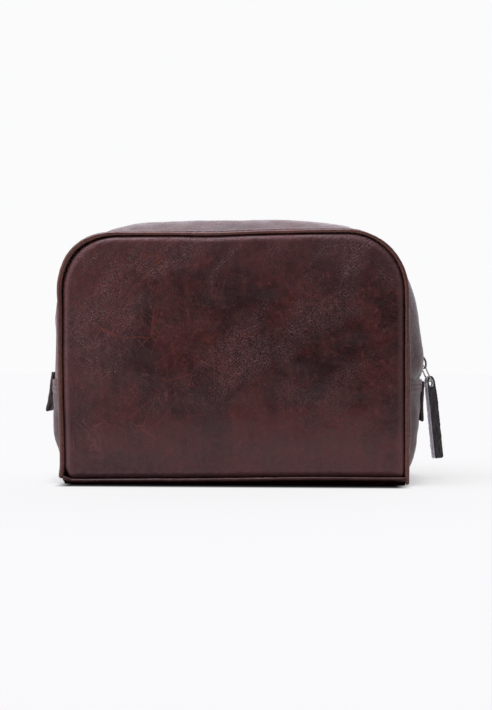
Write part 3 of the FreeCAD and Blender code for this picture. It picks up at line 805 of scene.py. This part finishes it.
def strip_relief(seam, crest, y, flat, seed):
    """Soft unevenness of the strip's outer face."""

    def free(start, end):
        """How free the leather is of the seam beside the piping."""
        return rise_to(SEAM_Y - np.abs(y), start, end)[None, :]

    relief = free(5, 22) * (0.5 + 0.45 * waves(flat, 52, seed) + 0.16 * waves(flat, 19, seed + 1))
    # Gathers where the strip eases round the corners.
    gather = corner_share(crest)[:, None] * bump(np.abs(y), 42, 8)[None, :]
    relief = relief + 0.3 * gather * waves(flat * (1.0, 0.25), 7.5, seed + 2)
    relief = relief + 0.05 * waves(flat, 6, seed + 3)
    # The seam with the side panel pulls the strip in, most at the right.
    above = seam[:, 1] - JOIN_Z
    right = rise_to(seam[:, 0], -60, 60)
    pinch = (1.3 + 1.6 * right) * np.exp(-np.clip(above, 0, None) / 6.0)
    relief = relief - pinch[:, None] * free(4, 24)
    # Along the top the strip stands a little higher at the left. Above the side panels it is fuller at
    # the right and flatter at the left.
    tilt = -1.5 * np.clip(crest[:, 0] / 75, -1, 1) * rise_to(crest[:, 1], 165, 190)
    full = 2.6 * bump(above, 24.0, 22.0) * right - 2.6 * bump(above, 22.0, 34.0) * (1 - right)
    relief = relief + (tilt + full)[:, None] * free(8, 30)
    # A shallow groove under the stitches beside the zip.
    return relief - 0.25 * bump(np.abs(y), 9.0, 0.7)[None, :]


def gusset_strip(name, side, seed):
    rings, flat = strip_points(side, seed)
    y = strip_profile()[0]
    # Worn on the lip and beside the zip; painted shade, near black, where it turns under the piping.
    edge = 0.3 * bump(y, 53.2, 0.9) + 0.25 * bump(y, 6.6, 0.8) - rise_to(y, 53.9, 54.3)
    return swept(name, rings, flat, np.broadcast_to(edge, rings.shape[:2]))


def strip_stitches(name, side, seed):
    """A row of stitches along the strip, just back from the zip."""
    line = strip_points(side, seed)[0][:, STRIP_DEPTHS.index(9.2)]
    radial = radial_line()[1]
    out = np.stack([radial[:, 0], 0 * radial[:, 0], radial[:, 1]], -1)
    return stitch_row(name, [(line, out)], 3.4, 2.5, 0.3)


def stitch_row(name, rows, pitch, length, thick):
    """Stitches along lines of points on a surface: short rods that dive in at both ends."""
    points, faces, cloth = [], [], []
    around, steps = 8, 9
    angle = np.linspace(0, 2 * math.pi, around, endpoint=False)
    cosine, sine = np.cos(angle)[None, :, None], np.sin(angle)[None, :, None]
    arch = np.sin(np.linspace(0, math.pi, steps)) ** 0.5
    for line, out in rows:
        run = run_along(line)
        for start in np.arange(pitch / 2, run[-1] - length, pitch):
            at = np.linspace(start, start + length, steps)
            path, up = (np.stack([np.interp(at, run, v[:, i]) for i in range(3)], -1) for v in (line, out))
            up = unit(up)
            side = np.cross(unit(np.gradient(path, axis=0)), up)
            path = path + up * (arch * thick * 1.1 - thick * 0.75)[:, None]
            spoke = cosine * side[:, None] + sine * up[:, None]
            rings = path[:, None] + spoke * (thick * (0.55 + 0.45 * arch))[:, None, None]
            faces += rod_faces(steps, around, len(points) * around * steps)
            points.append(rings.reshape(-1, 3))
            cloth.append(grid_of(at, angle * thick).reshape(-1, 2))
    return face_outwards(make_mesh(name, np.concatenate(points), faces, np.concatenate(cloth)))


def strip_ply(name, side, outer, inner, depths):
    """A thin inner ply of the gusset's upper part, between two insets."""
    seam = whole_arch(SEAM_ARCH)[::2]
    crest, out = (part[::2] for part in zip_line(0.0))
    y = np.array(depths + depths[::-1])
    sunk = np.repeat((outer, inner), len(depths))
    points = seam[:, None, :] + (crest - seam)[:, None, :] * cad_bulge(y)[None, :, None]
    points = points - out[:, None, :] * sunk[None, :, None]
    return swept(name, sagged(points[..., 0], side * y, points[..., 1]), grid_of(run_along(crest), y))


# ---- Side panels and base -------------------------------------------------------------------------
def side_crest(z):
    """Half width at the crest of a side panel: a parabola through three heights."""
    (z0, x0), (z1, x1), (z2, x2) = SIDE_STATIONS
    a = (z - z1) * (z - z2) / ((z0 - z1) * (z0 - z2))
    b = (z - z0) * (z - z2) / ((z1 - z0) * (z1 - z2))
    c = (z - z0) * (z - z1) / ((z2 - z0) * (z2 - z1))
    return a * x0 + b * x1 + c * x2


def side_face(y, z, hand, seed):
    """Half width of a side panel's outer face."""
    lip = 1.8 + (2.1 if hand > 0 else 1.4) * rise_to(z, 6, 40)
    flat = np.stack([y, z], -1)
    reach = side_crest(z) - SEAM_ARCH[0]
    x = SEAM_ARCH[0] + outward(y, reach, lip)
    free = rise_to(SEAM_Y - np.abs(y), 3, 16) * rise_to(z, 3, 20)
    x = x + free * (0.6 * waves(flat, 42, seed) + 0.2 * waves(flat, 15, seed + 1))
    # It puffs out to the front and the back of the end tab.
    puff = bump(np.abs(y), 32, 13) * bump(z, 36 if hand > 0 else 32, 27)
    x = x + (3.0 if hand > 0 else 4.0) * free * puff
    # Two long dents run down from the end tab, and the top edge is folded double.
    x = x - 0.9 * free * bump(np.abs(y), 17, 5) * bump(z, JOIN_Z - 24, 20)
    x = x + 0.55 * rise_to(z, JOIN_Z - 10.0, JOIN_Z - 8.6) * free
    for drop in STITCH_DROPS:
        x = x - 0.16 * bump(z, JOIN_Z - drop, 0.6) * rise_to(np.abs(y), 11.5, 13)
    return x + 0.05 * waves(flat, 5, seed + 2)


SIDE_COLUMNS = np.array(sorted([s * y for y in STRIP_DEPTHS[:27] for s in (-1, 1)] + [-5.0, 0.0, 5.0]))


def side_inner(y, z):
    """Half width of a side panel's inner face."""
    return SEAM_ARCH[0] + (side_crest(z) - SEAM_ARCH[0]) * cad_bulge(y) - LEATHER


def side_leather(name, hand, seed):
    """A side panel with its folded top edge, standing a little proud of the strips above."""
    rows = [np.linspace(SIDE_FOOT, JOIN_Z - 11, 46), np.linspace(JOIN_Z - 10.6, JOIN_Z - 0.7, 34)]
    y, z = np.meshgrid(SIDE_COLUMNS, np.concatenate(rows))
    outer = np.stack([side_face(y, z, hand, seed) - 1.1 * bump(z, SIDE_FOOT, 1.3), y, z], -1)
    # The fold along the top edge, then the inner face down to the foot.
    top_x = side_face(SIDE_COLUMNS, np.full_like(SIDE_COLUMNS, JOIN_Z - 0.7), hand, seed)
    turn = np.linspace(0.2, math.pi, 8)[:, None]
    over = (top_x - 0.7 + 0.7 * np.cos(turn), SIDE_COLUMNS, JOIN_Z - 0.7 + 0.7 * np.sin(turn))
    over = np.stack(np.broadcast_arrays(*over), -1)
    y, z = np.meshgrid(np.clip(SIDE_COLUMNS, -52.5, 52.5), np.linspace(JOIN_Z - 1.5, SIDE_FOOT, 30))
    inner = np.stack([side_inner(y, z), y, z], -1)
    rings = np.swapaxes(np.concatenate([outer, over, inner]) * (hand, 1, 1), 0, 1)
    depth, height = np.abs(rings[..., 1]), rings[..., 2]
    # Worn along the folded top edge and on the lip; painted shade, near black, where it turns under the
    # piping.
    edge = 0.3 * bump(height, JOIN_Z, 0.8) + 0.3 * bump(depth, 53.2, 0.9) - rise_to(depth, 53.9, 54.3)
    return swept(name, slump(rings), rings[..., 1:], edge)


def side_threads(name, hand, seed):
    rows = []
    for drop in STITCH_DROPS:
        for flank in (-1, 1):
            y = flank * np.linspace(12.5, 48.2, 60)
            z = np.full_like(y, JOIN_Z - drop)
            x = side_face(y, z, hand, seed)
            out = np.stack([np.full_like(y, hand), -np.gradient(x, y), 0 * y], -1)
            rows.append((sagged(hand * x, y, z), out))
    return stitch_row(name, rows, 3.3, 2.2, 0.27)


def side_lining(name, hand):
    y, z = np.meshgrid(np.linspace(-51.4, 51.4, 40), np.linspace(5.0, JOIN_Z - 0.8, 24))
    x = side_inner(y, z) - 0.15
    return plated(name, sagged(hand * x, y, z), sagged(hand * (x - LINING), y, z), np.stack([y, z], -1))


def base_piece(name, node, seed, ripple):
    """The base leather or its lining: a flat plate with a soft edge and a faintly uneven upper face."""
    low, high = corners(node)
    rim = (0.0, 0.15, 0.4, 0.8, 1.4, 2.2)
    x = low[0] + spread(high[0] - low[0], rim, 3.2)
    y = low[1] + spread(high[1] - low[1], rim, 3.2)
    x, y = np.meshgrid(x, y)
    depth_in = np.minimum(high[0] - np.abs(x), high[1] - np.abs(y))
    flat = np.stack([x, y], -1)
    middle = (high[2] + low[2]) / 2
    half = swell(depth_in, 0.7, (high[2] - low[2]) / 2 - 0.03) + 0.03
    top = middle + half - ripple * (0.5 + 0.5 * waves(flat, 30, seed)) * rise_to(depth_in, 1, 8)
    # Painted shade, near black, round the plate's edge, which lies in the dark gap under the bag.
    edge = rise_to(depth_in, 0.2, 2.5) - 1
    return plated(name, sagged(x, y, top), sagged(x, y, middle - half), flat, edge)


def base_turn_up(name, side, seed):
    """The edge of the base leather, turned up behind the foot of the base piping."""
    x, share = np.meshgrid(np.linspace(-(HALF_W - 3.4), HALF_W - 3.4, 130), np.linspace(0, 1, 9))
    flat = np.stack([x, share * 4], -1)
    z = 0.5 + (base_line(x) - 0.6) * share
    y = BEAD_Y - 0.5 - 0.5 * share + 0.12 * waves(flat, 14, seed)
    # Painted near black all over: painted shade in the gap under the piping.
    return plated(name, sagged(x, side * y, z), sagged(x, side * (y - 1.0), z), flat, np.full_like(x, -0.8))


def side_turn_up(name, hand, seed):
    """The base leather's edge turned up inside the foot of a side panel."""
    y, z = np.meshgrid(np.linspace(-51.5, 51.5, 60), np.linspace(0.5, 8.0, 8))
    flat = np.stack([y, z], -1)
    x = SEAM_ARCH[0] - 2.1 + 0.1 * waves(flat, 12, seed)
    outer, inner = sagged(hand * x, y, z), sagged(hand * (x - 0.8), y, z)
    # Painted a little darker all over: painted shade.
    return plated(name, outer, inner, flat, np.full_like(x, -0.3))


# ---- Zip ------------------------------------------------------------------------------------------
def zip_line(drop):
    """The zip's line in the middle plane, drop below the leather's face: points and outward directions."""
    crest = whole_arch(CREST_ARCH)
    along = unit(np.gradient(crest, axis=0))
    out = np.stack([along[:, 1], -along[:, 0]], -1)
    return crest - out * drop, out


def tooth_block(length):
    """One tooth as a bevelled block with a rounded nose: x along the zip, y out to the tape, z up."""
    nose, tail = 0.72, 3.6
    angle = np.linspace(0, 2 * math.pi, 12, endpoint=False)
    square = [np.sign(v) * np.abs(v) ** 0.45 for v in (np.cos(angle), np.sin(angle))]
    section = []
    for y, size in ((nose, 0.55), (nose + 0.12, 0.8), (nose + 0.4, 1.0), (1.9, 1.0), (2.4, 0.86),
                    (tail - 0.35, 0.82), (tail - 0.08, 0.66), (tail, 0.42)):
        section.append(np.stack([length / 2 * size * square[0], np.full(12, y), size * square[1]], -1))
    return np.array(section)


def zip_clamps(name, side, places, length):
    """Teeth or stops at distances along the zip's line."""
    line, out = zip_line(ZIP_DROP)
    run = run_along(line)
    block = tooth_block(length)
    rings, around = block.shape[:2]
    points, faces = [], []
    for at in places:
        centre, up = (np.array([np.interp(at, run, v[:, k]) for k in range(2)]) for v in (line, out))
        up /= np.linalg.norm(up)
        flat = centre + block[..., :1] * (-up[1], up[0]) + block[..., 2:] * up
        faces += rod_faces(rings, around, len(points) * rings * around)
        points.append(np.stack([flat[..., 0], side * block[..., 1], flat[..., 1]], -1).reshape(-1, 3))
    return face_outwards(make_mesh(name, slump(np.concatenate(points)), faces))


def zip_half(name, side):
    """Teeth and stops of one half of the zip. The halves' teeth stand half a pitch apart."""
    line, _ = zip_line(ZIP_DROP)
    run = run_along(line)
    above_slider = corners("slider_body")[1][2] + 1.6
    first = np.interp(above_slider, line[:60, 1], run[:60]) + (0.0 if side < 0 else TOOTH_PITCH / 2)
    teeth = zip_clamps(name + "_teeth", side, np.arange(first, run[-1] - 7.2, TOOTH_PITCH), 1.7)
    stop_rise = corners("front_zip_stops")[0][2] - JOIN_Z + 1.3
    stops = zip_clamps(name + "_stops", side, (stop_rise, run[-1] - stop_rise), 2.6)
    return teeth, stops


ZIP_DROP = LEATHER + 0.4
TOOTH_PITCH = 3.2
TAPE_DEPTHS = (2.2, 2.6, 3.2, 4.5, 6.5, 9, 12, 14)
LINING_DEPTHS = (51.5, 46, 40, 33, 27, 21, 15, 11, 8.4)


# ---- Slider, ring, strap and tabs -----------------------------------------------------------------
def knurled_crown(name):
    """The slider's crown: an arched bar with knurled edges."""
    piece, points, normals = softened(name, "slider_crown", 0.12, 2)
    low, high = corners("slider_crown")
    middle = np.array([low[0] - 1.5, 0, (low[2] + high[2]) / 2])
    angle = np.arctan2(points[:, 2] - middle[2], points[:, 0] - middle[0])
    # Only on its outer face, so that the ring keeps its room inside.
    far = rise_to(points[:, 0], low[0] + 1.2, low[0] + 2.0) * rise_to(normals[:, 0], -0.2, 0.4)
    knurl = (0.3 + np.maximum(np.sin(angle * 21), -0.3) * 0.18) * far
    reshape(piece, points + normals * knurl[:, None])
    return piece


def strap_ply(name, node, seed):
    """A strap ply: soft edges, a little widened, faintly uneven, and with a slight curl."""
    piece, points, normals = softened(name, node, 0.3, 5)
    low, high = corners(node)
    down = (high[2] - points[:, 2]) / (high[2] - low[2])
    rough = 0.10 * waves(points, 7, seed) + 0.05 * waves(points, 2.6, seed + 1)
    moved = points + normals * rough[:, None]
    moved[:, 0] += 0.5 * np.sin(down * math.pi) + 0.4 * rise_to(down, 0.6, 1.0)
    across = np.array([math.sin(STRAP_TWIST), math.cos(STRAP_TWIST), 0.0])
    place = points @ across - np.mean(points @ across)
    moved += across * 0.12 * place[:, None]
    # Thicker below the hole, and pale along its cut edges, their near white partly a painted highlight.
    facing = np.abs(normals @ STRAP_NORMAL)
    moved += normals * (0.35 * facing * rise_to(down, 0.12, 0.25))[:, None]
    reshape(piece, moved, (1 - rise_to(facing, 0.25, 0.7)) * 1.9)
    return piece


def end_tab(name, node, hand, seed):
    """An end tab: soft, a little cupped, and fuller at its folded end."""
    piece, points, normals = softened(name, node, 0.32, 4)
    low, high = corners(node)
    down = (high[2] - points[:, 2]) / (high[2] - low[2])
    full = 0.35 * bump(down, 0.93, 0.12) + 0.12 * waves(points, 9, seed) + 0.05 * waves(points, 3, seed + 1)
    moved = points + normals * (full * np.where(hand * normals[:, 0] > 0, 1.0, 0.4))[:, None]
    moved[:, 0] += hand * 0.6 * rise_to(down, 0.55, 1.0) * (points[:, 1] / 10) ** 2
    reshape(piece, moved, 0.5 * (np.abs(normals[:, 1]) > 0.7))
    return piece


def pull_ring(name):
    """The wire ring: two straight sides and two half-round ends."""
    joints = {j["name"]: j for j in frame["record"]["behaviour"]["joints"]}
    top = np.array(joints["ring_swing"]["pos_m"]) / MM
    bottom = np.array(joints["strap_swing"]["pos_m"]) / MM
    width = np.array(joints["ring_swing"]["axis"], float)
    down = (bottom - top) / np.linalg.norm(bottom - top)
    turn = np.linspace(0, math.pi, 24)[:, None]
    bend = RING_HALF * (down * (1 - np.sin(turn)) + width * np.cos(turn))
    high, low = top + bend, bottom - bend
    straight = np.linspace(0, 1, 8)[1:-1, None]
    path = np.concatenate([high, high[-1] + (low[0] - high[-1]) * straight, low,
                           low[-1] + (high[0] - low[-1]) * straight])
    around = 14
    along = unit(np.roll(path, -1, 0) - np.roll(path, 1, 0))
    rings = path[:, None] + WIRE_R * spokes(along, np.cross(width, down), around)
    faces = ring_faces(len(path), around)
    last = (len(path) - 1) * around
    faces += [(last + k, last + (k + 1) % around, (k + 1) % around, k) for k in range(around)]
    return face_outwards(make_mesh(name, rings.reshape(-1, 3), faces))


RING_HALF, WIRE_R = 3.45, 0.55
STRAP_TWIST = math.radians(35)
STRAP_NORMAL = np.array([math.cos(STRAP_TWIST), -math.sin(STRAP_TWIST), 0.0])


# ---- The bag --------------------------------------------------------------------------------------
def build_walls():
    for name, side, body, seed in (("front", -1, "front_wall", 11), ("back", 1, "bag", 31)):
        dress(wall_leather(name + "_leather", side, seed), "wall", body, "wall_leather", name + "_panel")
        bead, cord = piping(name, side, seed + 5)
        dress(bead, "bead", body, "piping_leather", name + "_piping")
        dress(cord, "cord", body, "piping_cord", name + "_piping_cord")
        bead, cord = base_piping(name, side, seed + 8)
        dress(bead, "foot", body, "piping_leather", name + "_base_piping")
        dress(cord, "cord", body, "piping_cord", name + "_base_piping_cord")
        lining = wall_lining(name + "_wall_cotton", side, seed + 9)
        dress(lining, "lining", body, "lining", name + "_lining")


def build_gusset():
    for name, side, body, seed in (("front", -1, "front gusset", 51), ("back", 1, "bag", 71)):
        strip = gusset_strip(name + "_gusset", side, seed)
        dress(strip, "gusset", body, "gusset_leather", name + "_zip_strip")
        dress(strip_stitches(name + "_zip_thread", side, seed), "thread", body, "thread")
        under = LEATHER + 0.9
        lining = strip_ply(name + "_gusset_cotton", side, under, under + LINING, LINING_DEPTHS)
        dress(lining, "lining", body, "lining", name + "_strip_lining")
        tape = strip_ply(name + "_tape", side, LEATHER + 0.1, LEATHER + 0.7, TAPE_DEPTHS)
        dress(tape, "tape", body, "zip_tape", name + "_zip_tape")
        teeth, stops = zip_half(name, side)
        dress(teeth, "zip", body, "zip_metal", name + "_zip_teeth")
        dress(stops, "zip", body, "zip_metal", name + "_zip_stops")


def build_sides():
    body = "lower gusset"
    for name, hand, seed in (("right", 1, 91), ("left", -1, 95)):
        panel = side_leather(name + "_side", hand, seed)
        dress(panel, "gusset", body, "gusset_leather", name + "_side_panel")
        threads = side_threads(name + "_side_thread", hand, seed)
        dress(threads, "thread", body, "thread", name + "_seam_stitches")
        dress(side_lining(name + "_side_cotton", hand), "lining", body, "lining", name + "_side_lining")


def build_base():
    for name, side in (("front", -1), ("back", 1)):
        dress(base_turn_up(name + "_base_turn_up", side, 107 + side), "base", "bag", "base_leather")
    for name, hand in (("left", -1), ("right", 1)):
        dress(side_turn_up(name + "_base_turn_up", hand, 141 + hand), "base", "bag", "base_leather")
    dress(base_piece("base_leather", "base_panel", 101, 0.0), "base", "bag", "base_leather", "base_panel")
    dress(base_piece("base_cotton", "base_lining", 103, 0.15), "lining", "bag", "lining", "base_lining")


def build_fittings():
    for name, hand, seed in (("left", -1, 111), ("right", 1, 115)):
        tab = end_tab(name + "_tab_leather", name + "_end_tab", hand, seed)
        dress(tab, "tab", name + "_tab", "tab_leather", name + "_end_tab")
    for name, seed in (("outer", 121), ("inner", 125)):
        ply = strap_ply("strap_" + name + "_ply", "pull_strap_" + name, seed)
        dress(ply, "strap", "strap", "strap_leather", "pull_strap_" + name)
    dress(pull_ring("wire_ring"), "ring", "ring", "ring_metal", "pull_ring")
    dress(knurled_crown("knurled_crown"), "slider", "slider", "slider_metal", "slider_crown")
    shell = softened("slider_shell", "slider_body", 0.14, 2)[0]
    dress(shell, "slider", "slider", "slider_metal", "slider_body")


def paint_frame():
    """A material for the CAD nodes that stay."""
    for node in ("front_board", "back_board", "base_board"):
        materials = frame["nodes"][node].data.materials
        materials.clear()
        materials.append(LOOKS["board"])


# ---- Floor, light and camera ----------------------------------------------------------------------
PAPER_GLOW = 0.709  # light of its own that brings the paper to the photo's near white
# Light by direction: where it comes from, the cosines between which it rises, and its strength there.
STUDIO = (
    ((0.0, 1.0, 0.0), -0.25, 0.6, 0.06, 0.75),
    ((0.0, 0.8, 0.6), 0.75, 0.97, 0.0, 1.1),
    ((-0.28, -0.22, 0.93), 0.87, 0.955, 0.0, 8.5),
    ((-0.85, -0.45, 0.25), 0.75, 0.95, 0.0, 1.5),
    ((0.9, -0.3, 0.3), 0.80, 0.95, 0.0, 0.4),
)


def grey(level):
    return (level, level, level, 1.0)


def floor():
    """Pale glowing paper, with the bag's soft shade painted into its glow close to the bag, that dims far in
    front of the bag.
    """
    radius, count = 6000.0, 96
    angle = np.linspace(0, 2 * math.pi, count, endpoint=False)
    ring = radius * np.stack([np.cos(angle), np.sin(angle), 0 * angle], -1)
    piece = make_mesh("floor", ring, [tuple(range(count))])
    look = Look("floor_paper", Roughness=0.8, Specular_IOR_Level=0.0, Emission_Color=grey(1.0))
    place = look.object_place()
    x, y = look.axis(place, "X"), look.axis(place, "Y")
    near = look.band(y, -1.6, -0.62, 0.45, 1.0)
    # The shade under the long sides, painted, because the paper's own light would wash it out.
    long_way = look.band(look.math("ABSOLUTE", y), (HALF_D + 8) * MM, (HALF_D + 22) * MM, 1.0, 0.0)
    side_way = look.band(look.math("ABSOLUTE", x), 0.119, 0.132, 1.0, 0.0)
    shade = look.times(long_way, side_way)
    # Ambient occlusion darkens the glow close round the bag: painted shade.
    closed = look.add("ShaderNodeAmbientOcclusion", {"Distance": 0.03}, samples=8).outputs["AO"]
    glow_after_painted_shade = look.times(look.band(closed, 0.4, 0.8, 0.75, 1.0), look.math("SUBTRACT", 1.0, shade))
    glow = look.times(look.times(near, glow_after_painted_shade), PAPER_GLOW)
    look.put(look.shader.inputs["Emission Strength"], glow)
    paper = look.blend(near, grey(0.02), grey(0.13))
    piece.data.materials.append(look.finish(look.blend(shade, paper, grey(0.01))))
    look.material.cycles.emission_sampling = "NONE"


def soft_world():
    """Near white to look at; as light, a soft studio: bright overhead and behind, dim behind the camera."""
    world = bpy.data.worlds.new("studio")
    bpy.context.scene.world = world
    world.use_nodes = True
    sky = Nodes(world.node_tree)
    lit = sky.tree.nodes["Background"]
    lit.inputs["Color"].default_value = (0.98, 0.94, 1.0, 1.0)
    direction = sky.add("ShaderNodeTexCoord").outputs["Generated"]
    total = 0.0
    for toward, start, end, low, high in STUDIO:
        inputs = {0: direction, 1: Vector(toward).normalized()}
        facing = sky.add("ShaderNodeVectorMath", inputs, operation="DOT_PRODUCT").outputs["Value"]
        total = sky.plus(total, sky.band(facing, start, end, low, high))
    sky.put(lit.inputs["Strength"], total)
    seen = sky.add("ShaderNodeBackground", {"Color": srgb(251, 251, 252)})
    camera_ray = sky.add("ShaderNodeLightPath").outputs["Is Camera Ray"]
    mix = sky.add("ShaderNodeMixShader", {0: camera_ray, 1: lit.outputs[0], 2: seen.outputs[0]})
    sky.put(sky.tree.nodes["World Output"].inputs["Surface"], mix.outputs[0])


def camera():
    """Level with the middle of the bag, a metre off, turned a little to show the right side."""
    distance, height, turn, aside = 1.057, 0.0958, math.radians(3.5), 0.0067
    across = np.array([math.cos(turn), math.sin(turn), 0])
    ahead = np.array([-math.sin(turn), math.cos(turn), 0])
    eye = bpy.data.objects.new("camera", bpy.data.cameras.new("camera"))
    bpy.context.scene.collection.objects.link(eye)
    bpy.context.scene.camera = eye
    eye.data.lens = 69.0
    eye.location = across * aside - ahead * distance + (0, 0, height)
    eye.rotation_euler = Vector(ahead).to_track_quat("-Z", "Y").to_euler()


build_walls()
build_gusset()
build_sides()
build_base()
build_fittings()
paint_frame()
floor()
soft_world()
camera()
bpy.context.scene.view_settings.view_transform = "Standard"
